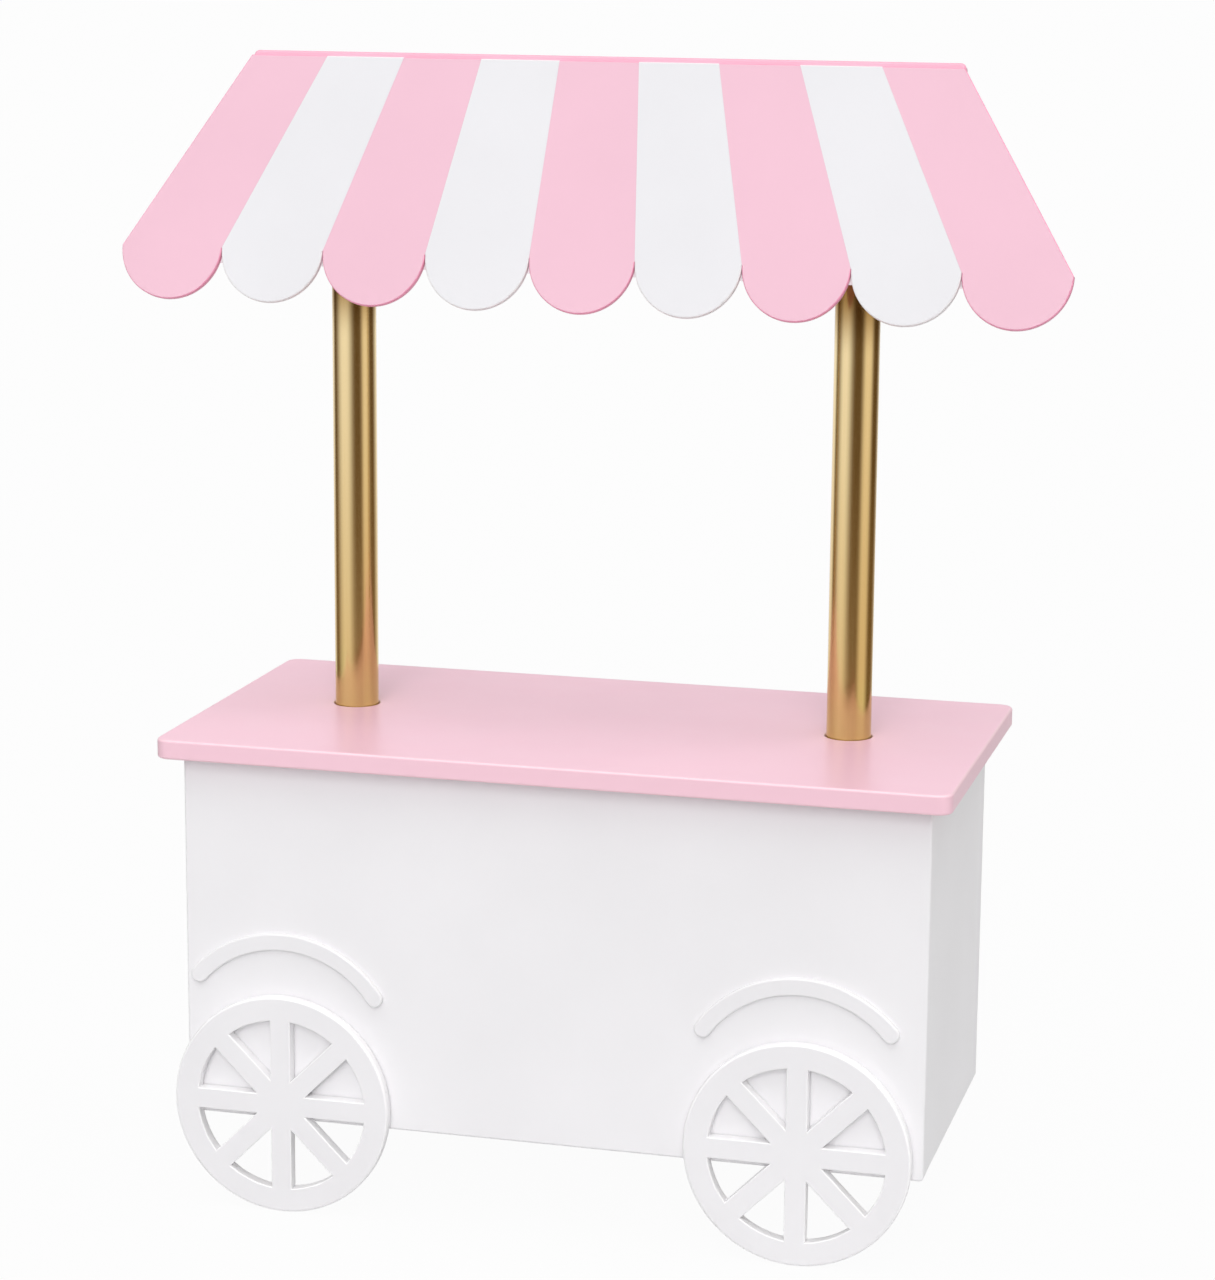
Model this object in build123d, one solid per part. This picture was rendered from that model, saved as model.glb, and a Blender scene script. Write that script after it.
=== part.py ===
from build123d import *
import os
from math import cos, radians, sin, tan

# Candy cart: a board cabinet on two wheelsets, a counter and a slatted canopy on two posts that lift out.
# Millimetres. The floor is Z = 0, the front faces -Y, and the origin is under the middle of the counter.

# Counter
counter_width = 600.0
counter_depth = 300.0
counter_thickness = 15.0
counter_corner_radius = 11.0
counter_edge_radius = 2.0

# Cabinet boards
side_overhang = 16.0
front_overhang = 20.0
rear_overhang = 30.0
panel_height = 280.0
panel_thickness = 15.0
panel_corner_radius = 3.0
panel_edge_radius = 2.0
board_edge_radius = 1.0
side_inset = 1.0
floor_thickness = 12.0
axle_headroom = 8.0
lower_rail_height = 110.0
upper_rail_height = 50.0
cleat_size = 20.0
cleat_end_gap = 10.0

# Wheels and axles
wheel_diameter = 170.0
wheel_thickness = 9.0
wheel_end_distance = 85.0
wheel_shift = -7.5
wheel_rim_width = 18.5
wheel_edge_radius = 2.0
spoke_count = 8
spoke_width = 16.0
window_corner_radius = 2.0
window_edge_radius = 1.0
axle_diameter = 8.0
axle_edge_distance = 14.0
axle_bore_depth = 4.0
bush_wall = 2.0
bush_flange_width = 3.0
bush_flange_thickness = 1.5
bush_flange_stand = 0.5
hub_plate_diameter = 36.0
hub_plate_thickness = 2.0
hub_screw_count = 3

# Mudguards
mudguard_radius = 88.5
mudguard_width = 13.0
mudguard_thickness = 4.0
mudguard_gap = 35.0
mudguard_half_angle = 52.0
mudguard_lean = 3.2
mudguard_edge_radius = 1.5

# Posts and their sockets
post_diameter = 33.7
post_wall = 2.0
post_end_distance = 105.0
post_set_back = 12.0
post_standing_height = 345.0
socket_size = 60.0
socket_height = 45.0
socket_floor = 10.0
counter_hole_clearance = 1.0
counter_hole_edge_radius = 1.2
plug_length = 25.0

# Canopy
canopy_tilt = 18.0
ridge_width = 542.0
eave_width = 720.0
eave_reach = 57.0
eave_rise = 11.5
slat_count = 9
slat_length = 149.0
slat_thickness = 4.0
slat_gap = 0.05
slat_edge_radius = 1.0
ridge_strip_height = 25.0
ridge_strip_thickness = 10.0
ridge_strip_stand = 5.0
ridge_strip_corner_radius = 4.0
ridge_strip_edge_radius = 2.0
canopy_base_end_inset = 30.0
canopy_base_thickness = 15.0
canopy_base_rear_margin = 14.0
gusset_thickness = 12.0
gusset_top_width = 18.0
gusset_post_gap = 4.0
gusset_screw_edge_distance = 12.0

# Fasteners
screw_diameter = 4.0
screw_head_diameter = 8.0
screw_bite = 10.0
screw_row_count = 3
hub_screw_diameter = 3.0
hub_screw_head_diameter = 5.5
hub_screw_bite = 5.0
lock_screw_head_height = 2.0
lock_screw_length = 12.0
dowel_diameter = 8.0
dowel_length = 30.0
front_dowel_count = 3
dowel_depth_in_face = 10.0
dowel_edge_distance = 14.0

# Clearances
running_clearance = 0.05
slip_clearance = 0.3
fit_clearance = 0.05
end_play = 0.3

# Planes that pieces share
body_width = counter_width - 2 * side_overhang
front_y = front_overhang - counter_depth / 2
rear_y = counter_depth / 2 - rear_overhang
inner_front_y = front_y + panel_thickness
rail_front_y = rear_y - panel_thickness
side_outer_x = body_width / 2 - side_inset
side_inner_x = side_outer_x - panel_thickness
axle_z = wheel_diameter / 2
axle_spread = body_width / 2 - wheel_end_distance
panel_bottom_z = axle_z - axle_edge_distance
panel_top_z = panel_bottom_z + panel_height
counter_top_z = panel_top_z + counter_thickness
floor_bottom_z = axle_z + axle_diameter / 2 + axle_headroom
floor_top_z = floor_bottom_z + floor_thickness
lower_rail_top_z = panel_bottom_z + lower_rail_height
upper_rail_bottom_z = panel_top_z - upper_rail_height
cleat_front_y = inner_front_y + cleat_end_gap
cleat_rear_y = rail_front_y - cleat_end_gap
cleat_inner_x = side_inner_x - cleat_size
wheel_gap = bush_flange_stand + end_play
post_x = counter_width / 2 - post_end_distance
post_y = post_set_back
post_radius = post_diameter / 2
socket_bottom_z = panel_top_z - socket_height
post_bottom_z = socket_bottom_z + socket_floor
post_top_z = counter_top_z + post_standing_height
plug_radius = post_radius - post_wall - fit_clearance
base_top_z = post_top_z + canopy_base_thickness
base_rear_y = post_y + post_radius + canopy_base_rear_margin
base_width = eave_width - 2 * canopy_base_end_inset
gusset_x = post_x + post_radius + gusset_post_gap + gusset_thickness / 2
eave_y = post_y - eave_reach
eave_z = post_top_z + eave_rise
tilt = radians(canopy_tilt)
eave_plane = Plane(origin=(0, eave_y, eave_z), x_dir=(1, 0, 0), z_dir=(0, -cos(tilt), sin(tilt)))

LEFT = -1
RIGHT = 1
SIDES = {"left": LEFT, "right": RIGHT}
axle_x = {side: side * axle_spread + wheel_shift for side in SIDES.values()}


def block(x_limits, y_limits, z_limits):
    """Box between two limits on each axis."""
    spans = [sorted(limits) for limits in (x_limits, y_limits, z_limits)]
    sizes = [high - low for low, high in spans]
    middles = [(low + high) / 2 for low, high in spans]
    return Pos(*middles) * Box(*sizes)


def rod(start, direction, radius, length):
    """Cylinder that starts at a point and runs along a direction."""
    bar = Cylinder(radius, length, align=(Align.CENTER, Align.CENTER, Align.MIN))
    return Plane(origin=start, z_dir=direction) * bar


def screw(seat, direction, length, diameter, head_diameter, growth=0.0):
    """Countersunk screw with its flat head at the seat; growth widens it into the hole that it needs."""
    head = Cone(
        head_diameter / 2 + growth,
        diameter / 2 + growth,
        (head_diameter - diameter) / 2,
        align=(Align.CENTER, Align.CENTER, Align.MIN),
    )
    shank = Cylinder(diameter / 2 + growth, length, align=(Align.CENTER, Align.CENTER, Align.MIN))
    return Plane(origin=seat, z_dir=direction) * (head + shank)


def board_screws(seats, direction, length):
    """Board screws that share a direction and a length."""
    return [screw(seat, direction, length, screw_diameter, screw_head_diameter) for seat in seats]


def board_screw_holes(seats, direction, length):
    """Holes for the board screws of the same seats, direction and length."""
    return [
        screw(seat, direction, length, screw_diameter, screw_head_diameter, fit_clearance)
        for seat in seats
    ]


def slope_point(along, out):
    """Y and Z of a point on the canopy slope, up from the eave line and out from the slats' front."""
    y = eave_y + along * sin(tilt) - out * cos(tilt)
    z = eave_z + along * cos(tilt) + out * sin(tilt)
    return y, z


def slat_back_y(z):
    """Y of the slats' back plane at a height."""
    return eave_y + (z - eave_z) * tan(tilt) + slat_thickness / cos(tilt)


def spread(low, high, count):
    """Evenly spaced places between two limits, both ends left out."""
    return [low + (high - low) * (index + 1) / (count + 1) for index in range(count)]


# Places of the fasteners
dowel_x = side_outer_x - panel_thickness / 2
front_dowel_starts = [
    (side * dowel_x, inner_front_y - dowel_depth_in_face, z)
    for side in SIDES.values()
    for z in spread(panel_bottom_z, panel_top_z, front_dowel_count)
]
rail_dowel_heights = [
    panel_bottom_z + dowel_edge_distance,
    lower_rail_top_z - dowel_edge_distance,
    upper_rail_bottom_z + dowel_edge_distance,
    panel_top_z - dowel_edge_distance,
]
rail_dowel_starts = {
    side: [
        (side * (side_inner_x + dowel_depth_in_face), rear_y - panel_thickness / 2, z)
        for z in rail_dowel_heights
    ]
    for side in SIDES.values()
}
cleat_middle_x = side_inner_x - cleat_size / 2
screw_rows = spread(cleat_front_y, cleat_rear_y, screw_row_count)
counter_screw_seats = {
    side: [(side * cleat_middle_x, y, panel_top_z - cleat_size) for y in screw_rows]
    for side in SIDES.values()
}
floor_screw_seats = {
    side: [(side * cleat_middle_x, y, floor_top_z) for y in screw_rows] for side in SIDES.values()
}
cleat_screw_places = [(first + second) / 2 for first, second in zip(screw_rows, screw_rows[1:])]
counter_cleat_middle_z = panel_top_z - cleat_size / 2
floor_cleat_middle_z = floor_bottom_z - cleat_size / 2
cleat_screw_seats = {
    (side, height): [(side * cleat_inner_x, y, height) for y in cleat_screw_places]
    for side in SIDES.values()
    for height in (counter_cleat_middle_z, floor_cleat_middle_z)
}
socket_corner = (socket_size / 2 + post_radius / 2 ** 0.5) / 2
socket_screw_seats = {
    side: [
        (side * post_x + step * socket_corner, post_y + step * socket_corner, socket_bottom_z)
        for step in (-1, 1)
    ]
    for side in SIDES.values()
}
counter_screw_length = cleat_size + screw_bite
cleat_screw_length = cleat_size + screw_bite
floor_screw_length = floor_thickness + screw_bite
socket_screw_length = socket_height + screw_bite
base_screw_length = canopy_base_thickness + plug_length - screw_bite / 2
gusset_places = {"left": -gusset_x, "centre": 0.0, "right": gusset_x}
gusset_screw_depths = [
    slat_back_y(base_top_z) + gusset_screw_edge_distance,
    base_rear_y - screw_head_diameter,
]
gusset_screw_seats = {
    name: [(x, y, post_top_z) for y in gusset_screw_depths] for name, x in gusset_places.items()
}
ridge_screw_length = ridge_strip_thickness + screw_bite
ridge_screw_along = slat_length + ridge_strip_stand - ridge_strip_height / 2
ridge_screw_seats = {
    name: [(x, *slope_point(ridge_screw_along, -slat_thickness))] for name, x in gusset_places.items()
}
inward = (0, cos(tilt), -sin(tilt))

parts = {}


# Counter: a rounded board with a loose hole round each post
counter_outline = RectangleRounded(counter_width, counter_depth, counter_corner_radius)
counter = extrude(counter_outline, counter_thickness)
counter_rim = counter.faces().sort_by(Axis.Z)[0].edges() + counter.faces().sort_by(Axis.Z)[-1].edges()
counter = Pos(0, 0, panel_top_z) * fillet(counter_rim, counter_edge_radius)
for side in SIDES.values():
    hole_radius = post_radius + counter_hole_clearance
    counter -= rod((side * post_x, post_y, panel_top_z), (0, 0, 1), hole_radius, counter_thickness)
hole_rims = [edge for edge in counter.edges().group_by(Axis.Z)[-1] if edge.is_closed]
counter = fillet(hole_rims, counter_hole_edge_radius)
for side in SIDES.values():
    counter -= board_screw_holes(counter_screw_seats[side], (0, 0, 1), counter_screw_length)
    counter -= board_screw_holes(socket_screw_seats[side], (0, 0, 1), socket_screw_length)
parts["counter_top"] = counter


# Bushes: flanged sleeves in the front panel and the lower rear rail, flange outwards
bush_radius = axle_diameter / 2 + running_clearance + bush_wall
bush_flange_radius = bush_radius + bush_flange_width
bush_recess = bush_flange_thickness - bush_flange_stand
FRONT = -1
REAR = 1
OUTSIDES = {"front": FRONT, "rear": REAR}
outside_y = {FRONT: front_y, REAR: rear_y}


def bush_shape(side, outside, growth):
    """Sleeve and flange of a bush, or the stepped hole for it."""
    face_y = outside_y[outside]
    inner_end = (axle_x[side], face_y - outside * panel_thickness, axle_z)
    flange_start = (axle_x[side], face_y - outside * bush_recess, axle_z)
    sleeve = rod(inner_end, (0, outside, 0), bush_radius + growth, panel_thickness)
    flange = rod(flange_start, (0, outside, 0), bush_flange_radius + growth, bush_flange_thickness)
    return sleeve + flange


for side_name, side in SIDES.items():
    for outside_name, outside in OUTSIDES.items():
        bore_start = (axle_x[side], outside_y[outside] - outside * panel_thickness, axle_z)
        bore_length = panel_thickness + bush_flange_stand
        bore = rod(bore_start, (0, outside, 0), axle_diameter / 2 + running_clearance, bore_length)
        parts[f"bush_{outside_name}_{side_name}"] = bush_shape(side, outside, 0.0) - bore


# Front panel: covers the ends of the side panels
panel_middle_z = (panel_bottom_z + panel_top_z) / 2
front_plane = Plane(origin=(0, front_y, panel_middle_z), x_dir=(1, 0, 0), z_dir=(0, -1, 0))
front = extrude(RectangleRounded(body_width, panel_height, panel_corner_radius), -panel_thickness)
front = front_plane * fillet(front.faces().sort_by(Axis.Z)[-1].edges(), panel_edge_radius)
for side in SIDES.values():
    front -= bush_shape(side, FRONT, fit_clearance)
for start in front_dowel_starts:
    front -= rod(start, (0, 1, 0), dowel_diameter / 2 + fit_clearance, dowel_length)
parts["front_panel"] = front


# Side panels: butt against the back of the front panel
for side_name, side in SIDES.items():
    panel = block(
        (side * side_inner_x, side * side_outer_x),
        (inner_front_y, rear_y),
        (panel_bottom_z, panel_top_z),
    )
    outer_face = panel.faces().sort_by(Axis.X)[0 if side == LEFT else -1]
    panel = fillet(outer_face.edges(), board_edge_radius)
    for start in front_dowel_starts:
        panel -= rod(start, (0, 1, 0), dowel_diameter / 2 + fit_clearance, dowel_length)
    for start in rail_dowel_starts[side]:
        panel -= rod(start, (-side, 0, 0), dowel_diameter / 2 + fit_clearance, dowel_length)
    for height in (counter_cleat_middle_z, floor_cleat_middle_z):
        panel -= board_screw_holes(cleat_screw_seats[side, height], (side, 0, 0), cleat_screw_length)
    parts[f"{side_name}_panel"] = panel


# Rear rails: tie the side panels together; the lower one carries the rear bushes
rail_limits = {
    "rear_rail_lower": (panel_bottom_z, lower_rail_top_z),
    "rear_rail_upper": (upper_rail_bottom_z, panel_top_z),
}
for name, z_limits in rail_limits.items():
    rail = block((-side_inner_x, side_inner_x), (rail_front_y, rear_y), z_limits)
    rail = fillet(rail.faces().sort_by(Axis.Y)[-1].edges().filter_by(Axis.X), board_edge_radius)
    for side in SIDES.values():
        rail -= bush_shape(side, REAR, fit_clearance)
        for start in rail_dowel_starts[side]:
            rail -= rod(start, (-side, 0, 0), dowel_diameter / 2 + fit_clearance, dowel_length)
    parts[name] = rail


# Floor board and the cleats that carry it and the counter
floor = block((-side_inner_x, side_inner_x), (inner_front_y, rail_front_y), (floor_bottom_z, floor_top_z))
for side_name, side in SIDES.items():
    floor -= board_screw_holes(floor_screw_seats[side], (0, 0, -1), floor_screw_length)
    cleat_x = (side * cleat_inner_x, side * side_inner_x)
    cleat_y = (cleat_front_y, cleat_rear_y)
    counter_cleat = block(cleat_x, cleat_y, (panel_top_z - cleat_size, panel_top_z))
    counter_cleat -= board_screw_holes(counter_screw_seats[side], (0, 0, 1), counter_screw_length)
    counter_cleat -= board_screw_holes(
        cleat_screw_seats[side, counter_cleat_middle_z], (side, 0, 0), cleat_screw_length
    )
    floor_cleat = block(cleat_x, cleat_y, (floor_bottom_z - cleat_size, floor_bottom_z))
    floor_cleat -= board_screw_holes(floor_screw_seats[side], (0, 0, -1), floor_screw_length)
    floor_cleat -= board_screw_holes(
        cleat_screw_seats[side, floor_cleat_middle_z], (side, 0, 0), cleat_screw_length
    )
    parts[f"counter_cleat_{side_name}"] = counter_cleat
    parts[f"floor_cleat_{side_name}"] = floor_cleat
parts["floor_board"] = floor


# Post sockets: blocks under the counter that the posts stand in
for side_name, side in SIDES.items():
    socket = block(
        (side * post_x - socket_size / 2, side * post_x + socket_size / 2),
        (post_y - socket_size / 2, post_y + socket_size / 2),
        (socket_bottom_z, panel_top_z),
    )
    socket_bore_depth = panel_top_z - post_bottom_z
    socket -= rod(
        (side * post_x, post_y, post_bottom_z), (0, 0, 1), post_radius + slip_clearance, socket_bore_depth
    )
    socket -= board_screw_holes(socket_screw_seats[side], (0, 0, 1), socket_screw_length)
    parts[f"post_socket_{side_name}"] = socket


# Mudguards: round-ended arcs glued to the front panel over the wheels, leaning towards the middle
mudguard_centre_z = wheel_diameter + mudguard_gap + mudguard_width / 2 - mudguard_radius
mudguard_arc = CenterArc((0, 0), mudguard_radius, 90 - mudguard_half_angle, 2 * mudguard_half_angle)
mudguard = extrude(SlotArc(mudguard_arc, mudguard_width), mudguard_thickness)
mudguard = fillet(mudguard.faces().sort_by(Axis.Z)[-1].edges(), mudguard_edge_radius)
for side_name, side in SIDES.items():
    mudguard_plane = Plane(
        origin=(axle_x[side], front_y, mudguard_centre_z), x_dir=(1, 0, 0), z_dir=(0, -1, 0)
    )
    parts[f"mudguard_{side_name}"] = mudguard_plane * Rot(0, 0, side * mudguard_lean) * mudguard


# Wheel, drawn with its outer face on its own Z = 0: a disc with a wedge window between each two spokes
window_radius = wheel_diameter / 2 - wheel_rim_width
spoke = Rectangle(window_radius, spoke_width, align=(Align.MIN, Align.CENTER))
spokes = [Rot(0, 0, 360 * index / spoke_count) * spoke for index in range(spoke_count)]
windows = Circle(window_radius) - spokes
window_faces = [fillet(face.vertices(), window_corner_radius) for face in windows.faces()]
wheel = extrude(Circle(wheel_diameter / 2) - window_faces, -wheel_thickness)
outer_face = wheel.faces().sort_by(Axis.Z)[-1]
inner_face = wheel.faces().sort_by(Axis.Z)[0]
wheel = fillet(outer_face.outer_wire().edges() + inner_face.outer_wire().edges(), wheel_edge_radius)
outer_face = wheel.faces().sort_by(Axis.Z)[-1]
window_edges = [edge for wire in outer_face.inner_wires() for edge in wire.edges()]
wheel = fillet(window_edges, window_edge_radius)
hub_screw_ring = (axle_diameter + hub_plate_diameter) / 4
hub_screw_seats = [
    (location.position.X, location.position.Y, -wheel_thickness)
    for location in PolarLocations(hub_screw_ring, hub_screw_count, 360 / spoke_count)
]
hub_screw_length = hub_plate_thickness + hub_screw_bite
hub_screw_sizes = (hub_screw_length, hub_screw_diameter, hub_screw_head_diameter)
hub_screw_holes = [screw(seat, (0, 0, 1), *hub_screw_sizes, fit_clearance) for seat in hub_screw_seats]
hub_back = (0, 0, -wheel_thickness)
hub_depth = hub_plate_thickness + axle_bore_depth
wheel -= rod(hub_back, (0, 0, 1), hub_plate_diameter / 2 + fit_clearance, hub_plate_thickness)
wheel -= rod(hub_back, (0, 0, 1), axle_diameter / 2 + fit_clearance, hub_depth)
wheel -= hub_screw_holes
hub_plate = rod(hub_back, (0, 0, 1), hub_plate_diameter / 2, hub_plate_thickness)
hub_plate -= rod(hub_back, (0, 0, 1), axle_diameter / 2 + fit_clearance, hub_plate_thickness)
hub_plate -= hub_screw_holes
hub_screws = [screw(seat, (0, 0, 1), *hub_screw_sizes) for seat in hub_screw_seats]


# Wheelsets: a front and a rear wheel on one axle
for side_name, side in SIDES.items():
    set_screws = []
    axle_ends = []
    for outside_name, outside in OUTSIDES.items():
        face_y = outside_y[outside] + outside * (wheel_gap + wheel_thickness)
        wheel_plane = Plane(
            origin=(axle_x[side], face_y, axle_z), x_dir=(-outside, 0, 0), z_dir=(0, outside, 0)
        )
        parts[f"wheel_{outside_name}_{side_name}"] = wheel_plane * wheel
        parts[f"hub_plate_{outside_name}_{side_name}"] = wheel_plane * hub_plate
        set_screws += [wheel_plane * item for item in hub_screws]
        axle_ends.append(outside_y[outside] + outside * (wheel_gap + hub_depth))
    parts[f"hub_screws_{side_name}"] = Compound(set_screws)
    axle_length = axle_ends[1] - axle_ends[0]
    parts[f"axle_{side_name}"] = rod(
        (axle_x[side], axle_ends[0], axle_z), (0, 1, 0), axle_diameter / 2, axle_length
    )


# Posts: tubes from the sockets up to the canopy base, each locked on a plug by a screw at the back
lock_screw_z = post_top_z - plug_length / 2
post_height = post_top_z - post_bottom_z
lock_screws = []
for side_name, side in SIDES.items():
    lock_seat = (side * post_x, post_y + post_radius, lock_screw_z)
    lock_tip = (side * post_x, post_y + post_radius - lock_screw_length, lock_screw_z)
    lock_hole = rod(lock_tip, (0, 1, 0), screw_diameter / 2 + fit_clearance, lock_screw_length)
    post = rod((side * post_x, post_y, post_bottom_z), (0, 0, 1), post_radius, post_height)
    post -= rod((side * post_x, post_y, post_bottom_z), (0, 0, 1), post_radius - post_wall, post_height)
    parts[f"post_{side_name}"] = post - lock_hole
    plug_seat = (side * post_x, post_y, base_top_z)
    plug = rod((side * post_x, post_y, post_top_z - plug_length), (0, 0, 1), plug_radius, plug_length)
    plug -= board_screw_holes([plug_seat], (0, 0, -1), base_screw_length)
    parts[f"post_plug_{side_name}"] = plug - lock_hole
    lock_shank = rod(lock_tip, (0, 1, 0), screw_diameter / 2, lock_screw_length)
    lock_head = rod(lock_seat, (0, 1, 0), screw_head_diameter / 2, lock_screw_head_height)
    lock_screws.append(lock_shank + lock_head)
parts["post_lock_screws"] = Compound(lock_screws)


# Canopy base: a board on the posts, its front edge cut to the slope of the slats
base_profile = Polyline(
    (slat_back_y(post_top_z), post_top_z),
    (base_rear_y, post_top_z),
    (base_rear_y, base_top_z),
    (slat_back_y(base_top_z), base_top_z),
    close=True,
)
base_start = Plane(origin=(-base_width / 2, 0, 0), x_dir=(0, 1, 0), z_dir=(1, 0, 0))
base = extrude(base_start * make_face(base_profile), base_width)
base = fillet(base.faces().sort_by(Axis.Y)[-1].edges(), board_edge_radius)
plug_seats = [(side * post_x, post_y, base_top_z) for side in SIDES.values()]
base -= board_screw_holes(plug_seats, (0, 0, -1), base_screw_length)
for name in gusset_places:
    base -= board_screw_holes(gusset_screw_seats[name], (0, 0, 1), base_screw_length)
parts["canopy_base"] = base


# Gussets: upright ribs from the base to the ridge strip, close behind the slats
strip_bottom = slat_length + ridge_strip_stand - ridge_strip_height
strip_back = -slat_thickness - ridge_strip_thickness
gusset_profile = Polyline(
    (slat_back_y(base_top_z), base_top_z),
    (base_rear_y, base_top_z),
    slope_point(slat_length, strip_back - gusset_top_width),
    slope_point(slat_length, strip_back),
    slope_point(strip_bottom, strip_back),
    slope_point(strip_bottom, -slat_thickness),
    close=True,
)
for name, x in gusset_places.items():
    gusset_start = Plane(origin=(x - gusset_thickness / 2, 0, 0), x_dir=(0, 1, 0), z_dir=(1, 0, 0))
    gusset = extrude(gusset_start * make_face(gusset_profile), gusset_thickness)
    rear_edges = gusset.faces().sort_by(Axis.Y)[-1].edges()
    gusset = fillet(rear_edges.filter_by(Axis.X, reverse=True), board_edge_radius)
    gusset -= board_screw_holes(gusset_screw_seats[name], (0, 0, 1), base_screw_length)
    gusset -= board_screw_holes(ridge_screw_seats[name], inward, ridge_screw_length)
    parts[f"canopy_gusset_{name}"] = gusset


# Ridge strip: a batten behind the slats' top ends that stands a little above them
strip_middle = strip_bottom + ridge_strip_height / 2
strip_outline = RectangleRounded(ridge_width, ridge_strip_height, ridge_strip_corner_radius)
strip = extrude(strip_outline, -ridge_strip_thickness)
strip_face_edges = strip.faces().sort_by(Axis.Z)[-1].edges() + strip.faces().sort_by(Axis.Z)[0].edges()
strip = fillet(strip_face_edges, ridge_strip_edge_radius)
strip = eave_plane * Pos(0, strip_middle, -slat_thickness) * strip
for name in gusset_places:
    strip -= board_screw_holes(ridge_screw_seats[name], inward, ridge_screw_length)
parts["ridge_strip"] = strip


# Slats: tapered boards with half-round lower ends, glued edge to edge, to the base and to the ridge strip;
# the edges that stay free are rounded
def scallop_rounding(middle_x, radius):
    """What is cut away to round the front edge of a half-round lower end."""
    section = Pos(-radius, 0) * Rectangle(2 * slat_edge_radius, 2 * slat_edge_radius)
    section -= Pos(slat_edge_radius - radius, -slat_edge_radius) * Circle(slat_edge_radius)
    section_plane = Plane(origin=(middle_x, 0, 0), x_dir=(1, 0, 0), z_dir=(0, -1, 0))
    return revolve(section_plane * section, Axis((middle_x, 0, 0), (0, 0, 1)), 180)


def slat(index):
    """One slat in the eave plane, counted from the left."""
    left_share = index / slat_count - 0.5
    right_share = (index + 1) / slat_count - 0.5
    low_left = (eave_width * left_share + slat_gap / 2, 0)
    low_right = (eave_width * right_share - slat_gap / 2, 0)
    top_right = (ridge_width * right_share - slat_gap / 2, slat_length)
    top_left = (ridge_width * left_share + slat_gap / 2, slat_length)
    scallop_radius = (low_right[0] - low_left[0]) / 2
    scallop_x = (low_left[0] + low_right[0]) / 2
    scallop = CenterArc((scallop_x, 0), scallop_radius, 180, 180)
    outline = scallop + Polyline(low_right, top_right, top_left, low_left)
    shape = extrude(make_face(outline), -slat_thickness)
    straight_edges = shape.faces().sort_by(Axis.Z)[-1].edges().filter_by(GeomType.LINE)
    free_edges = straight_edges.sort_by(Axis.Y)[-1:]
    if index == 0:
        free_edges += straight_edges.sort_by(Axis.X)[:1]
    if index == slat_count - 1:
        free_edges += straight_edges.sort_by(Axis.X)[-1:]
    shape = fillet(free_edges, slat_edge_radius) - scallop_rounding(scallop_x, scallop_radius)
    return eave_plane * shape


SLAT_COLOURS = ("pink", "white")
for index in range(slat_count):
    parts[f"slat_{index + 1}_{SLAT_COLOURS[index % 2]}"] = slat(index)


# Fasteners, each kind a set of separate solids
dowels = [rod(start, (0, 1, 0), dowel_diameter / 2, dowel_length) for start in front_dowel_starts]
counter_screws = []
cleat_screws = []
floor_screws = []
socket_screws = []
for side in SIDES.values():
    for start in rail_dowel_starts[side]:
        dowels.append(rod(start, (-side, 0, 0), dowel_diameter / 2, dowel_length))
    counter_screws += board_screws(counter_screw_seats[side], (0, 0, 1), counter_screw_length)
    floor_screws += board_screws(floor_screw_seats[side], (0, 0, -1), floor_screw_length)
    socket_screws += board_screws(socket_screw_seats[side], (0, 0, 1), socket_screw_length)
    for height in (counter_cleat_middle_z, floor_cleat_middle_z):
        cleat_screws += board_screws(cleat_screw_seats[side, height], (side, 0, 0), cleat_screw_length)
gusset_screws = []
ridge_screws = []
for name in gusset_places:
    gusset_screws += board_screws(gusset_screw_seats[name], (0, 0, 1), base_screw_length)
    ridge_screws += board_screws(ridge_screw_seats[name], inward, ridge_screw_length)
parts["carcass_dowels"] = Compound(dowels)
parts["counter_screws"] = Compound(counter_screws)
parts["cleat_screws"] = Compound(cleat_screws)
parts["floor_screws"] = Compound(floor_screws)
parts["socket_screws"] = Compound(socket_screws)
parts["plug_screws"] = Compound(board_screws(plug_seats, (0, 0, -1), base_screw_length))
parts["gusset_screws"] = Compound(gusset_screws)
parts["ridge_screws"] = Compound(ridge_screws)


os.makedirs("parts", exist_ok=True)
for name, shape in parts.items():
    export_step(shape, f"parts/{name}.step")
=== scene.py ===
import math

import bpy
from mathutils import Matrix, Vector


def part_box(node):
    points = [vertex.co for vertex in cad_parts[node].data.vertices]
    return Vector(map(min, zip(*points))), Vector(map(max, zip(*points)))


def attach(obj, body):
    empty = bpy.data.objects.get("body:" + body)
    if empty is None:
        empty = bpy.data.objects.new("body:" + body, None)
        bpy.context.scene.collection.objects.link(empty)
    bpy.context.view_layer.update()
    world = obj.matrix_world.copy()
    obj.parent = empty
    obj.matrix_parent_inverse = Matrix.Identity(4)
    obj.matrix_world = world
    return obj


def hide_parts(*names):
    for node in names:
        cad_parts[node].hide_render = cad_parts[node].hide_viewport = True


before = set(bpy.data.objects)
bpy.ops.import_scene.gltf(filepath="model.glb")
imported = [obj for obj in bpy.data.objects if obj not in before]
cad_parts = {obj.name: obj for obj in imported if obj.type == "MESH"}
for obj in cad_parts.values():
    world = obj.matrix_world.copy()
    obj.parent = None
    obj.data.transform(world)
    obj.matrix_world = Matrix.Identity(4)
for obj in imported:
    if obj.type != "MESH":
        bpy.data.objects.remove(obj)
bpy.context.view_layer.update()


# Cabinet boards: a front panel, two side panels and two rear rails of fibreboard, butted and
# dowelled. Each is sprayed with white satin lacquer, which dries to a faint orange peel, drifts a
# little in tone and sheen over the board, and polishes up along the rounded edges.
x_axis, y_axis, z_axis = (1, 0, 0), (0, 1, 0), (0, 0, 1)


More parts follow.
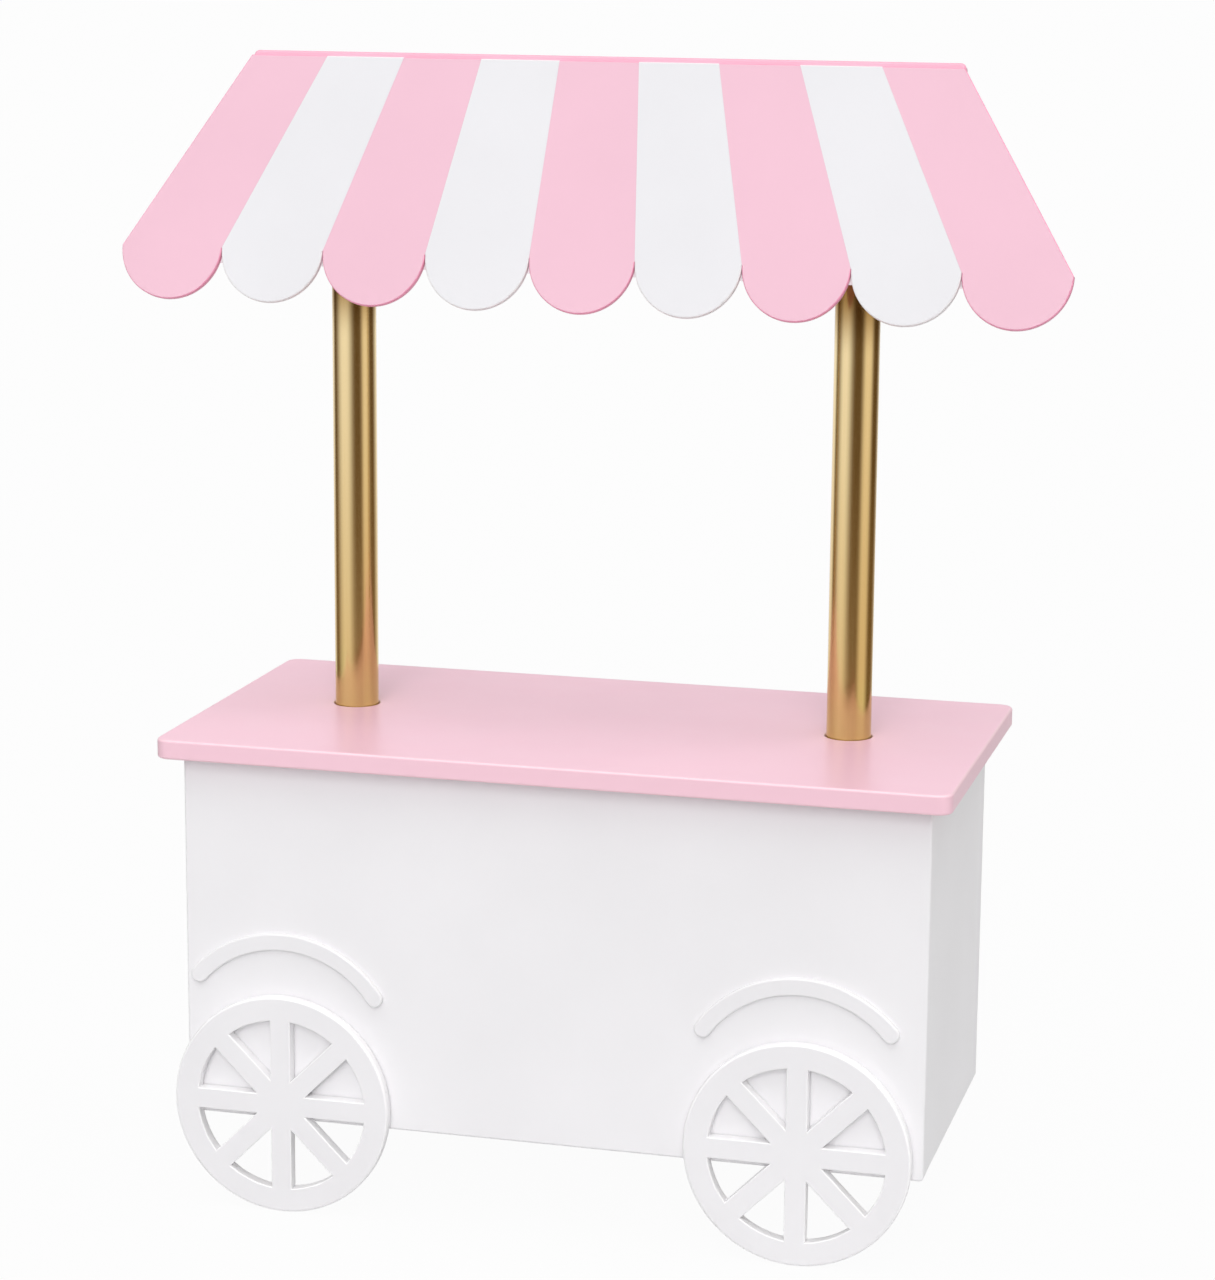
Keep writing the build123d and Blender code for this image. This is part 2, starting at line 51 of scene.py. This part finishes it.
class Finish:
    """A socket of a material; arithmetic on it adds Math nodes, and node() adds any other node."""

    def __init__(self, tree, socket=None):
        self.tree = tree
        self.socket = socket

    def node(self, kind, settings, inputs, output=0):
        """Adds a node of a type, sets it up, then fills or links its sockets."""
        made = self.tree.nodes.new(kind)
        for name, value in settings.items():
            setattr(made, name, value)
        for name, value in inputs.items():
            if isinstance(value, Finish):
                self.tree.links.new(value.socket, made.inputs[name])
            else:
                made.inputs[name].default_value = value
        return Finish(self.tree, made.outputs[output] if made.outputs else None)

    def maths(self, operation, first, second=0.0):
        return self.node("ShaderNodeMath", {"operation": operation}, {0: first, 1: second})

    def __add__(self, other):
        return self.maths("ADD", self, other)

    __radd__ = __add__

    def __sub__(self, other):
        return self.maths("SUBTRACT", self, other)

    def __rsub__(self, other):
        return self.maths("SUBTRACT", other, self)

    def __mul__(self, other):
        return self.maths("MULTIPLY", self, other)

    __rmul__ = __mul__

    def noise(self, place, scale, detail=2.0):
        """Soft noise from 0 to 1 with features of about 1 / scale metres."""
        return self.node(
            "ShaderNodeTexNoise",
            {},
            {"Vector": place, "Scale": scale, "Detail": detail, "Roughness": 0.5},
        )

    def blend(self, share, first, second):
        """First colour where the share is 0, second where it is 1."""
        return self.node(
            "ShaderNodeMix", {"data_type": "RGBA"}, {0: share, 6: first, 7: second}, output=2
        )

    def ramp(self, value, low, high):
        """Stretches the range between two values to 0 to 1, with soft ends."""
        return self.node(
            "ShaderNodeMapRange",
            {"interpolation_type": "SMOOTHSTEP"},
            {"Value": value, "From Min": low, "From Max": high},
        )

    def place(self, turn=(0.0, 0.0, 0.0), stretch=(1.0, 1.0, 1.0)):
        """Object coordinates, turned and stretched."""
        coordinates = self.node("ShaderNodeTexCoord", {}, {}, output="Object")
        return self.node(
            "ShaderNodeMapping", {}, {"Vector": coordinates, "Rotation": turn, "Scale": stretch}
        )

    def along(self, vector, direction):
        """How far a vector reaches along a direction."""
        return self.node(
            "ShaderNodeVectorMath",
            {"operation": "DOT_PRODUCT"},
            {0: vector, 1: direction},
            output="Value",
        )

    def facing(self, direction):
        """1 where the surface looks along a direction or straight back, 0 where it looks across."""
        normal = self.node("ShaderNodeTexCoord", {}, {}, output="Normal")
        return self.maths("ABSOLUTE", self.along(normal, direction))

    def bump(self, height, depth):
        """Normal of a relief whose height runs from 0 to 1 times a depth in metres."""
        return self.node("ShaderNodeBump", {}, {"Height": height, "Distance": depth})


def new_material(name):
    """An empty material, with the handle for its nodes."""
    material = bpy.data.materials.new(name)
    material.use_nodes = True
    material.node_tree.nodes.clear()
    return material, Finish(material.node_tree)


def close_material(handle, inputs):
    """Principled surface with these inputs, as the material's output."""
    surface = handle.node("ShaderNodeBsdfPrincipled", {}, inputs)
    handle.node("ShaderNodeOutputMaterial", {}, {"Surface": surface})


def coat(names, material):
    """Gives CAD nodes a material."""
    for name in names:
        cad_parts[name].material_slots[0].material = material


def lying(handle):
    """1 on the faces of a board that lies flat and on its rims, 0 on its upright sides."""
    return handle.ramp(handle.facing(z_axis), 0.15, 0.5)


def lacquer(name, colour, edge_colour, edges, roughness=0.36, side_colour=None):
    """Sprayed satin lacquer; edges takes the material's handle and returns 1 on rounded edges.

    A side colour is for the cut sides of a board that lies flat.
    """
    peel_depth = 0.000025
    thin_share = 0.97
    material, handle = new_material(name)
    place = handle.place()
    edge = edges(handle)
    peel = handle.noise(place, 260.0)
    fine_peel = handle.noise(place, 900.0, 1.0)
    cloud = handle.noise(place, 30.0)
    drift = handle.ramp(handle.noise(place, 7.0), 0.3, 0.7)
    thin_coat = tuple(thin_share * part for part in colour[:3]) + (1.0,)
    tone = handle.blend(drift, thin_coat, colour)
    if side_colour:
        tone = handle.blend(lying(handle), side_colour, tone)
    sheen = roughness + 0.10 * (cloud - 0.5) + 0.05 * (peel - 0.5) - 0.06 * edge
    close_material(
        handle,
        {
            "Base Color": handle.blend(edge, tone, edge_colour),
            "Roughness": sheen,
            "Normal": handle.bump(peel + 0.35 * fine_peel, peel_depth),
        },
    )
    return material


def board_edges(handle):
    """The rounded edges of a board that stands square to the axes."""
    across = handle.maths("MAXIMUM", handle.facing(x_axis), handle.facing(y_axis))
    squarest = handle.maths("MAXIMUM", across, handle.facing(z_axis))
    return 1 - handle.ramp(squarest, 0.90, 0.995)


white = (0.87, 0.858, 0.876, 1.0)
white_edge = (0.86, 0.85, 0.862, 1.0)
board_white = lacquer("board_white", white, white_edge, board_edges)
coat(["front_panel", "left_panel", "right_panel"], board_white)
coat(["rear_rail_lower", "rear_rail_upper"], board_white)


# Dowels: beech pins glued across the joints between the boards, which hide them once they are
# closed.
def beech(name, turn):
    """Planed beech, its grain along X before the turn: long pores, year rings and short flecks."""
    pore_depth = 0.00006
    pale, deep = (0.66, 0.44, 0.25, 1.0), (0.50, 0.30, 0.15, 1.0)
    fleck, pore = (0.43, 0.23, 0.10, 1.0), (0.33, 0.18, 0.08, 1.0)
    material, handle = new_material(name)
    rings = handle.noise(handle.place(turn, (4.0, 55.0, 55.0)), 1.0, 4.0)
    pores = handle.noise(handle.place(turn, (60.0, 1100.0, 1100.0)), 1.0, 2.0)
    flecks = handle.noise(handle.place(turn, (220.0, 420.0, 420.0)), 1.0, 1.0)
    grain = handle.blend(handle.ramp(rings, 0.35, 0.7), pale, deep)
    flecked = handle.blend(0.45 * handle.ramp(flecks, 0.62, 0.78), grain, fleck)
    pored = handle.blend(0.5 * handle.ramp(pores, 0.58, 0.75), flecked, pore)
    close_material(
        handle,
        {
            "Base Color": pored,
            "Roughness": 0.55 + 0.1 * (pores - 0.5),
            "Normal": handle.bump(1 - pores, pore_depth),
        },
    )
    return material


beech_along_width = beech("beech_along_width", (0.0, 0.0, 0.0))
coat(["carcass_dowels"], beech_along_width)


# Cleats: planed beech strips, left bare inside the cabinet. Cross-head countersunk screws of
# zinc-plated steel hold them to the side panels.
sides = ("left", "right")
cleats = {
    (level, side): f"{level}_cleat_{side}" for level in ("counter", "floor") for side in sides
}
beech_along_depth = beech("beech_along_depth", (0.0, 0.0, math.radians(90)))
coat(cleats.values(), beech_along_depth)

plating_depth = 0.00001
zinc_dark, zinc_pale = (0.50, 0.52, 0.55, 1.0), (0.66, 0.67, 0.69, 1.0)
zinc_steel, handle = new_material("zinc_steel")
place = handle.place()
cells = {"Vector": place, "Scale": 420.0}
spangle = handle.node("ShaderNodeTexVoronoi", {}, cells, output="Color")
grey = handle.node("ShaderNodeRGBToBW", {}, {"Color": spangle})
marks = handle.noise(place, 1600.0, 1.0)
close_material(
    handle,
    {
        "Base Color": handle.blend(grey, zinc_dark, zinc_pale),
        "Metallic": 1.0,
        "Roughness": 0.34 + 0.12 * (grey - 0.5) + 0.1 * (marks - 0.5),
        "Normal": handle.bump(marks, plating_depth),
    },
)

screw_radius = 0.002
screw_head_radius = 0.004
screw_head_depth = screw_head_radius - screw_radius
neck_share = 0.95
plain_shank = 0.001
thread_pitch = 0.0016
thread_core = 0.76
point_turns = 2
point_share = 0.15
recess_length = 0.0044
recess_width = 0.0009
recess_depth = 0.0016
recess_taper = 0.5
edge_break = 0.00006
twist_degrees = 37
cleat_screw_length = 0.030


def start_head(radius, name):
    """A round face at the origin that looks up, left selected in edit mode."""
    bpy.ops.object.select_all(action="DESELECT")
    bpy.ops.mesh.primitive_circle_add(vertices=32, radius=radius, fill_type="NGON")
    bpy.context.object.name = name
    bpy.ops.object.mode_set(mode="EDIT")
    bpy.ops.mesh.select_mode(type="FACE")
    bpy.ops.mesh.select_all(action="SELECT")


def draw_out(step, scale):
    """Extrudes the selected end along Z, then widens or narrows it about the Z axis."""
    bpy.ops.mesh.extrude_region_move(TRANSFORM_OT_translate={"value": (0.0, 0.0, step)})
    bpy.ops.transform.resize(value=(scale, scale, 1.0), center_override=(0.0, 0.0, 0.0))


def cut_recess(screw, face_height):
    """Presses a tapered cross recess into the head, then breaks the sharp edges."""
    for turn in (0.0, math.radians(90)):
        bpy.ops.object.select_all(action="DESELECT")
        bpy.ops.mesh.primitive_cube_add(size=1.0, location=(0.0, 0.0, face_height))
        punch = bpy.context.object
        punch.scale = (recess_length, recess_width, 2 * recess_depth)
        punch.rotation_euler = (0.0, 0.0, turn)
        bpy.ops.object.transform_apply(location=True, rotation=True, scale=True)
        bpy.ops.object.mode_set(mode="EDIT")
        bpy.ops.mesh.select_mode(type="FACE")
        bpy.ops.mesh.select_all(action="DESELECT")
        bpy.ops.object.mode_set(mode="OBJECT")
        for face in punch.data.polygons:
            face.select = face.normal.z < -0.9
        bpy.ops.object.mode_set(mode="EDIT")
        bpy.ops.transform.resize(
            value=(recess_taper, recess_taper, 1.0), center_override=(0.0, 0.0, face_height)
        )
        bpy.ops.object.mode_set(mode="OBJECT")
        bpy.ops.object.select_all(action="DESELECT")
        bpy.context.view_layer.objects.active = screw
        screw.select_set(True)
        press = screw.modifiers.new("press", "BOOLEAN")
        press.operation = "DIFFERENCE"
        press.solver = "EXACT"
        press.object = punch
        bpy.ops.object.modifier_apply(modifier=press.name)
        bpy.data.objects.remove(punch)
    broken = screw.modifiers.new("broken_edges", "BEVEL")
    broken.width = edge_break
    broken.segments = 1
    broken.limit_method = "ANGLE"
    broken.angle_limit = math.radians(40)
    bpy.ops.object.modifier_apply(modifier=broken.name)
    bpy.ops.object.shade_smooth_by_angle(angle=math.radians(35))


def finish_head(screw, face_height):
    """Closes the edit of a screw with its faces outward, then cuts its recess."""
    bpy.ops.mesh.select_all(action="SELECT")
    bpy.ops.mesh.remove_doubles(threshold=0.00001)
    bpy.ops.mesh.normals_make_consistent(inside=False)
    bpy.ops.object.mode_set(mode="OBJECT")
    cut_recess(screw, face_height)
    screw.data.materials.append(zinc_steel)


def countersunk_screw(length):
    """Screw with its flat head at the origin, looking up, and its threaded shank below."""
    start_head(screw_head_radius, "countersunk_screw")
    screw = bpy.context.object
    draw_out(-screw_head_depth, neck_share * screw_radius / screw_head_radius)
    draw_out(-plain_shank, 1.0)
    turns = int((length - screw_head_depth - plain_shank) / thread_pitch) - point_turns
    for _ in range(turns):
        draw_out(-thread_pitch / 2, thread_core)
        draw_out(-thread_pitch / 2, 1 / thread_core)
    draw_out(-point_turns * thread_pitch, point_share)
    finish_head(screw, 0.0)
    return screw


def drive(node, screw, seats, body):
    """Copies a screw to its seats, each a point and a way in, in place of a node of plain pins."""
    driven = []
    bpy.ops.object.select_all(action="DESELECT")
    for count, (point, inward) in enumerate(seats):
        copy = screw.copy()
        copy.data = screw.data.copy()
        bpy.context.scene.collection.objects.link(copy)
        aim = (-Vector(inward)).to_track_quat("Z", "Y").to_matrix().to_4x4()
        twist = Matrix.Rotation(math.radians(twist_degrees * count), 4, "Z")
        copy.matrix_world = Matrix.Translation(point) @ aim @ twist
        copy.select_set(True)
        driven.append(copy)
    bpy.context.view_layer.objects.active = driven[0]
    bpy.ops.object.join()
    bpy.ops.object.transform_apply(location=True, rotation=True, scale=True)
    driven[0].name = f"{node}_driven"
    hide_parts(node)
    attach(driven[0], body)
    bpy.data.objects.remove(screw)


def screw_rows(node):
    """The three places along a cleat where the screws through it stand."""
    low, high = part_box(node)
    return [low.y + (high.y - low.y) * share / 4 for share in (1, 2, 3)]


cleat_seats = []
for (level, side), name in cleats.items():
    low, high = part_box(name)
    rows = screw_rows(name)
    inner_x, way_in = (high.x, (-1, 0, 0)) if side == "left" else (low.x, (1, 0, 0))
    for first, second in zip(rows, rows[1:]):
        seat = Vector((inner_x, (first + second) / 2, (low.z + high.z) / 2))
        cleat_seats.append((seat, way_in))
drive("cleat_screws", countersunk_screw(cleat_screw_length), cleat_seats, "cart")


# Floor board: a fibreboard shelf dropped in from the back on to the lower cleats, lacquered with
# the cabinet and screwed down along both ends.
floor_screw_length = 0.022
coat(["floor_board"], board_white)
floor_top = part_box("floor_board")[1].z
floor_seats = []
for side in sides:
    low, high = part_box(cleats["floor", side])
    for row in screw_rows(cleats["floor", side]):
        floor_seats.append((Vector(((low.x + high.x) / 2, row, floor_top)), (0, 0, -1)))
drive("floor_screws", countersunk_screw(floor_screw_length), floor_seats, "cart")


# Bushes: flanged sleeves of nylon, moulded with a faint grain and pressed into the front panel and
# the lower rail, for the axles to turn in.
ends = ("front", "rear")
mould_depth = 0.00002
nylon, handle = new_material("nylon")
mould = handle.noise(handle.place(), 700.0, 1.0)
close_material(
    handle,
    {
        "Base Color": handle.blend(mould, (0.74, 0.73, 0.70, 1.0), (0.80, 0.79, 0.76, 1.0)),
        "Roughness": 0.45 + 0.1 * (mould - 0.5),
        "Normal": handle.bump(mould, mould_depth),
    },
)
coat([f"bush_{end}_{side}" for end in ends for side in sides], nylon)


# Axles, hub plates and hub screws: zinc-plated steel. The axle runs through the bushes, and a plate
# let into the back of each wheel holds it on the axle's end.
for side in sides:
    coat([f"axle_{side}", f"hub_screws_{side}"], zinc_steel)
    coat([f"hub_plate_{end}_{side}" for end in ends], zinc_steel)


# Wheels: discs cut from thin fibreboard, with eight spokes between wedge windows, edges rounded
# over and lacquered white like the cabinet.
def disc_edges(handle):
    """The rim, the window walls and the rounded edges of a disc that faces front and back."""
    return 1 - handle.ramp(handle.facing(y_axis), 0.90, 0.99)


# The rim and the window walls are painted a lighter white: painted light against the shade in the
# windows and a painted highlight on the rim.
disc_tone = (0.85, 0.838, 0.856, 1.0)
painted_light_disc_edge = (0.94, 0.93, 0.94, 1.0)
disc_white = lacquer("disc_white", disc_tone, painted_light_disc_edge, disc_edges)
coat([f"wheel_{end}_{side}" for end in ends for side in sides], disc_white)


# Mudguards: thin round-ended arcs of fibreboard, glued to the front panel over the wheels and
# lacquered with it.
mudguard_white = lacquer("mudguard_white", disc_tone, white_edge, disc_edges)
coat(["mudguard_left", "mudguard_right"], mudguard_white)


# Counter: a fibreboard top with rounded corners and a hole for each post, sprayed pale pink all
# over and screwed up from the cleats. Its cut sides are a little deeper pink, and a paler pink on
# its rounded rims is a painted highlight.
def painted_highlight_rims(handle):
    """The rounded rims between the faces and the cut sides of the counter, painted paler as a
    highlight.
    """
    return lying(handle) * (1 - handle.ramp(handle.facing(z_axis), 0.90, 0.995))


counter_screw_length = 0.030
pink = (0.95, 0.585, 0.70, 1.0)
# A paler pink on the rounded rims, as a painted highlight.
painted_highlight_pink = (0.93, 0.63, 0.70, 1.0)
deep_pink = (0.90, 0.58, 0.675, 1.0)
counter_pink = lacquer("counter_pink", pink, painted_highlight_pink, painted_highlight_rims, side_colour=deep_pink)
coat(["counter_top"], counter_pink)
counter_seats = []
for side in sides:
    low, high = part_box(cleats["counter", side])
    for row in screw_rows(cleats["counter", side]):
        counter_seats.append((Vector(((low.x + high.x) / 2, row, low.z)), (0, 0, 1)))
drive("counter_screws", countersunk_screw(counter_screw_length), counter_seats, "cart")


# Post sockets: bored beech blocks under the counter that the posts drop into, each held up by two
# long screws through opposite corners.
socket_screw_length = 0.055
coat(["post_socket_left", "post_socket_right"], beech_along_width)
socket_seats = []
for side in sides:
    low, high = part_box(f"post_socket_{side}")
    post_low, post_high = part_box(f"post_{side}")
    middle = (low + high) / 2
    corner = ((high.x - low.x) / 2 + (post_high.x - post_low.x) / 2 / math.sqrt(2)) / 2
    for step in (-corner, corner):
        socket_seats.append((Vector((middle.x + step, middle.y + step, low.z)), (0, 0, 1)))
drive("socket_screws", countersunk_screw(socket_screw_length), socket_seats, "cart")


# Posts: drawn tubes with a satin gold finish, brushed along their length. The gold is painted
# yellower at the heel just above the counter, against the pink counter's reflection, darker at the
# foot and paler higher up as a painted highlight, and browner close under the canopy as painted
# shade. A pan-head screw at the back locks each on a beech plug.
post_low, post_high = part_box("post_left")
counter_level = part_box("counter_top")[1].z
painted_heel_height = 0.06
painted_rise_offset = 0.03
painted_shade_start, painted_shade_full = 0.060, 0.012
brush_depth = 0.000006
satin_gold, handle = new_material("satin_gold")
height = handle.node("ShaderNodeSeparateXYZ", {}, {"Vector": handle.place()}, output="Z")
painted_rise = handle.ramp(height, post_low.z + painted_rise_offset, post_high.z)
clear = handle.ramp(height, counter_level, counter_level + painted_heel_height)
painted_shade_share = handle.ramp(height, post_high.z - painted_shade_start, post_high.z - painted_shade_full)
streaks = handle.noise(handle.place(stretch=(1400.0, 1400.0, 9.0)), 1.0, 3.0)
hair = handle.noise(handle.place(stretch=(4200.0, 4200.0, 25.0)), 1.0, 2.0)
# Painted reflection and shade: the heel tone is yellower against the pink counter's reflection, the
# foot tone darker and the upper tone paler as a painted highlight, and the neck tone dark brown as
# painted shade under the canopy.
painted_heel_tone = handle.blend(streaks, (0.64, 0.53, 0.19, 1.0), (0.74, 0.64, 0.27, 1.0))
painted_dim_foot = handle.blend(streaks, (0.66, 0.44, 0.17, 1.0), (0.74, 0.53, 0.24, 1.0))
upper = handle.blend(streaks, (0.86, 0.67, 0.36, 1.0), (0.93, 0.76, 0.45, 1.0))
painted_shade_neck = handle.blend(streaks, (0.32, 0.18, 0.05, 1.0), (0.42, 0.25, 0.08, 1.0))
gold = handle.blend(clear, painted_heel_tone, handle.blend(painted_rise, painted_dim_foot, upper))
close_material(
    handle,
    {
        "Base Color": handle.blend(painted_shade_share, gold, painted_shade_neck),
        "Metallic": 1.0,
        "Roughness": 0.19 + 0.08 * (streaks - 0.5) + 0.08 * (hair - 0.5),
        "Normal": handle.bump(streaks + 0.5 * hair, brush_depth),
    },
)
coat(["post_left", "post_right"], satin_gold)
coat(["post_plug_left", "post_plug_right"], beech_along_width)

lock_head_height = 0.002
lock_head_dome = ((0.4, 0.97), (0.35, 0.88), (0.25, 0.72))
lock_underside = 0.0001
lock_shank_share = 0.47
lock_shank_length = 0.010
start_head(screw_head_radius, "lock_screw")
lock_screw = bpy.context.object
for share, narrowing in lock_head_dome:
    draw_out(share * lock_head_height, narrowing)
bpy.ops.mesh.select_all(action="DESELECT")
bpy.ops.object.mode_set(mode="OBJECT")
for face in lock_screw.data.polygons:
    face.select = face.center.z < 0.1 * lock_head_height
bpy.ops.object.mode_set(mode="EDIT")
draw_out(-lock_underside, lock_shank_share)
draw_out(-lock_shank_length, 1.0)
finish_head(lock_screw, lock_head_height)
lock_low, lock_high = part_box("post_lock_screws")
lock_seats = []
for side in sides:
    low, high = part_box(f"post_{side}")
    seat = Vector(((low.x + high.x) / 2, high.y, (lock_low.z + lock_high.z) / 2))
    lock_seats.append((seat, (0, -1, 0)))
drive("post_lock_screws", lock_screw, lock_seats, "canopy")


# Canopy base: a white lacquered board on the posts, screwed down into their plugs, with its front
# edge cut to the slope of the slats.
plug_screw_length = 0.035
coat(["canopy_base"], board_white)
base_low, base_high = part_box("canopy_base")
plug_seats = []
for side in sides:
    low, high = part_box(f"post_{side}")
    seat = Vector(((low.x + high.x) / 2, (low.y + high.y) / 2, base_high.z))
    plug_seats.append((seat, (0, 0, -1)))
drive("plug_screws", countersunk_screw(plug_screw_length), plug_seats, "canopy")


# Gussets: upright ribs of white lacquered board, which carry the ridge strip. Two screws up through
# the base hold each.
ribs = ("left", "centre", "right")
gusset_screw_length = 0.035
coat([f"canopy_gusset_{rib}" for rib in ribs], board_white)
gusset_low, gusset_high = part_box("gusset_screws")
gusset_seats = []
for rib in ribs:
    low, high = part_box(f"canopy_gusset_{rib}")
    for depth in (gusset_low.y + screw_head_radius, gusset_high.y - screw_head_radius):
        gusset_seats.append((Vector(((low.x + high.x) / 2, depth, base_low.z)), (0, 0, 1)))
drive("gusset_screws", countersunk_screw(gusset_screw_length), gusset_seats, "canopy")


# Ridge strip: a batten along the top of the slats, rounded over and sprayed a deeper pink, screwed
# to the gussets behind the slats.
canopy_tilt = math.radians(18)
slope = (0.0, -math.cos(canopy_tilt), math.sin(canopy_tilt))


def slope_edges(handle):
    """The cut and rounded edges of a board that lies on the slope of the canopy."""
    return 1 - handle.ramp(handle.facing(slope), 0.88, 0.99)


strip_tone, strip_edge = (0.88, 0.46, 0.585, 1.0), (0.87, 0.39, 0.52, 1.0)
strip_pink = lacquer("strip_pink", strip_tone, strip_edge, slope_edges)
coat(["ridge_strip"], strip_pink)
coat(["ridge_screws"], zinc_steel)


# Slats: nine thin tapered boards with half-round lower ends, pink and white in turn, glued edge to
# edge on the base and the strip. Their cut ends are painted deeper pink on the pink ones, as
# painted shade and pink bounce light, and lighter on the white ones, as painted light where the
# ends are shaded.
slat_roughness = 0.48
pink_tone, painted_shade_pink_end = (0.83, 0.515, 0.62, 1.0), (0.84, 0.32, 0.47, 1.0)
white_tone, painted_light_white_end = (0.78, 0.773, 0.797, 1.0), (0.85, 0.83, 0.83, 1.0)
slat_pink = lacquer("slat_pink", pink_tone, painted_shade_pink_end, slope_edges, slat_roughness)
slat_white = lacquer("slat_white", white_tone, painted_light_white_end, slope_edges, slat_roughness)
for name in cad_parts:
    if name.startswith("slat_"):
        coat([name], slat_pink if name.endswith("_pink") else slat_white)


# Studio: a pale floor and a white backdrop under a soft sky, broad lamps from beside the camera,
# from the right and from above, and a glowing brown ring with bright panels that shows only in
# shine, as a painted reflection for the gold.
white_light = (1.0, 1.0, 1.0, 1.0)
sky_strength = 0.2
backdrop_white = 0.982
world = bpy.data.worlds.new("studio_sky")
bpy.context.scene.world = world
world.use_nodes = True
world.node_tree.nodes.clear()
handle = Finish(world.node_tree)


def seen_directly(handle):
    """1 for rays from the camera, a mirror or a glass, which see the backdrop, 0 for the rest."""
    kinds = ("Is Camera Ray", "Is Glossy Ray", "Is Transmission Ray")
    seen = [handle.node("ShaderNodeLightPath", {}, {}, output=kind) for kind in kinds]
    return seen[0] + seen[1] + seen[2]


sky = handle.node("ShaderNodeBackground", {}, {"Color": white_light, "Strength": sky_strength})
backdrop = handle.node(
    "ShaderNodeBackground", {}, {"Color": white_light, "Strength": backdrop_white}
)
shown = handle.node("ShaderNodeMixShader", {}, {0: seen_directly(handle), 1: sky, 2: backdrop})
handle.node("ShaderNodeOutputWorld", {}, {"Surface": shown})

floor_size = 60.0
paper_share = 0.96
bpy.ops.object.select_all(action="DESELECT")
bpy.ops.mesh.primitive_plane_add(size=floor_size)
floor = bpy.context.object
floor.name = "studio_floor"
floor_paint, handle = new_material("floor_paint")
paint = handle.node("ShaderNodeBsdfDiffuse", {}, {"Color": (0.55, 0.55, 0.55, 1.0)})
paper = handle.node("ShaderNodeEmission", {}, {"Strength": 1.0})
paper_seen = paper_share * seen_directly(handle)
floor_seen = handle.node("ShaderNodeMixShader", {}, {0: paper_seen, 1: paint, 2: paper})
handle.node("ShaderNodeOutputMaterial", {}, {"Surface": floor_seen})
floor.data.materials.append(floor_paint)

ring_radius = 1.5
ring_height = 1.0
bpy.ops.mesh.primitive_cylinder_add(
    vertices=128,
    radius=ring_radius,
    depth=ring_height,
    end_fill_type="NOTHING",
    location=(0, 0, ring_height / 2),
)
ring = bpy.context.object
ring.name = "studio_ring"
bpy.ops.object.transform_apply(location=True, rotation=True, scale=True)
painted_reflection_ring, handle = new_material("painted_reflection_ring")
spot = handle.place()
bearing = handle.maths("ARCTAN2", handle.along(spot, (1, 0, 0)), handle.along(spot, (0, -1, 0)))


def panel(middle, half_width, soft, brightness):
    """A bright panel of the ring: degrees to the right of the front, with soft sides."""
    away = handle.maths("ABSOLUTE", bearing - math.radians(middle))
    inner, outer = math.radians(half_width - soft), math.radians(half_width + soft)
    return brightness * (1 - handle.ramp(away, inner, outer))


# The ring glows as a painted reflection: its brown darkens higher up, which paints shade into the
# reflection near the posts' tops, and its bright panels are painted bright reflections.
low_brown, high_brown = (0.20, 0.13, 0.055, 1.0), (0.12, 0.072, 0.026, 1.0)
warm_white = (0.96, 0.87, 0.72, 1.0)
cold_white = (backdrop_white, backdrop_white, backdrop_white, 1.0)
brown = handle.blend(handle.ramp(handle.along(spot, z_axis), 0.16, 0.40), low_brown, high_brown)
warm_panel = panel(middle=75, half_width=22, soft=14, brightness=0.92)
cold_panel = panel(middle=-42, half_width=33, soft=24, brightness=1.0)
left_back = 1 - handle.ramp(bearing, math.radians(-124), math.radians(-100))
right_back = handle.ramp(bearing, math.radians(128), math.radians(172))
lit = handle.maths("MINIMUM", cold_panel + left_back + right_back, 1.0)
bright = handle.blend(lit, handle.blend(warm_panel, brown, warm_white), cold_white)
glow = handle.node("ShaderNodeEmission", {}, {"Color": bright, "Strength": 1.0})
handle.node("ShaderNodeOutputMaterial", {}, {"Surface": glow})
ring.data.materials.append(painted_reflection_ring)
ring.visible_camera = False
ring.visible_diffuse = False
ring.visible_transmission = False
ring.visible_volume_scatter = False
ring.visible_shadow = False


def lamp(name, azimuth, elevation, breadth, strength, shows):
    """A broad distant lamp: degrees right of the front, degrees up, degrees across, its share of
    white, and whether it shows in shine, which is otherwise filled by the ring and the backdrop."""
    made = bpy.data.objects.new(name, bpy.data.lights.new(name, "SUN"))
    made.data.energy = strength * math.pi
    made.data.angle = math.radians(breadth)
    turned = Matrix.Rotation(math.radians(azimuth), 3, "Z")
    raised = Matrix.Rotation(math.radians(-elevation), 3, "X")
    towards_lamp = turned @ raised @ Vector((0, -1, 0))
    made.rotation_euler = towards_lamp.to_track_quat("Z", "Y").to_euler()
    made.visible_glossy = shows
    bpy.context.scene.collection.objects.link(made)


lamp("front_lamp", azimuth=8, elevation=25, breadth=38, strength=0.50, shows=False)
lamp("side_lamp", azimuth=100, elevation=15, breadth=70, strength=0.28, shows=False)
lamp("top_lamp", azimuth=0, elevation=72, breadth=60, strength=0.49, shows=True)


# Camera: stands to the right of the cart, a little above the canopy, and looks slightly down. Its
# place, turn and focal length were fitted to the edges of the cart in the photograph.
camera_place = Vector((0.67453, -2.51377, 0.97870))
camera_turn = math.radians(14.81)
camera_dip = math.radians(11.91)
camera_roll = math.radians(0.43)
focal_pixels = 3500.66
photo_height = 1280
long_side = 36.0
camera = bpy.data.objects.new("camera", bpy.data.cameras.new("camera"))
camera.data.sensor_width = long_side
camera.data.lens = focal_pixels * long_side / photo_height
camera.data.clip_end = 200.0
turned = Matrix.Rotation(camera_turn, 4, "Z")
dipped = Matrix.Rotation(math.radians(90) - camera_dip, 4, "X")
rolled = Matrix.Rotation(camera_roll, 4, "Z")
camera.matrix_world = Matrix.Translation(camera_place) @ turned @ dipped @ rolled
bpy.context.scene.collection.objects.link(camera)
bpy.context.scene.camera = camera
bpy.context.scene.view_settings.view_transform = "Standard"
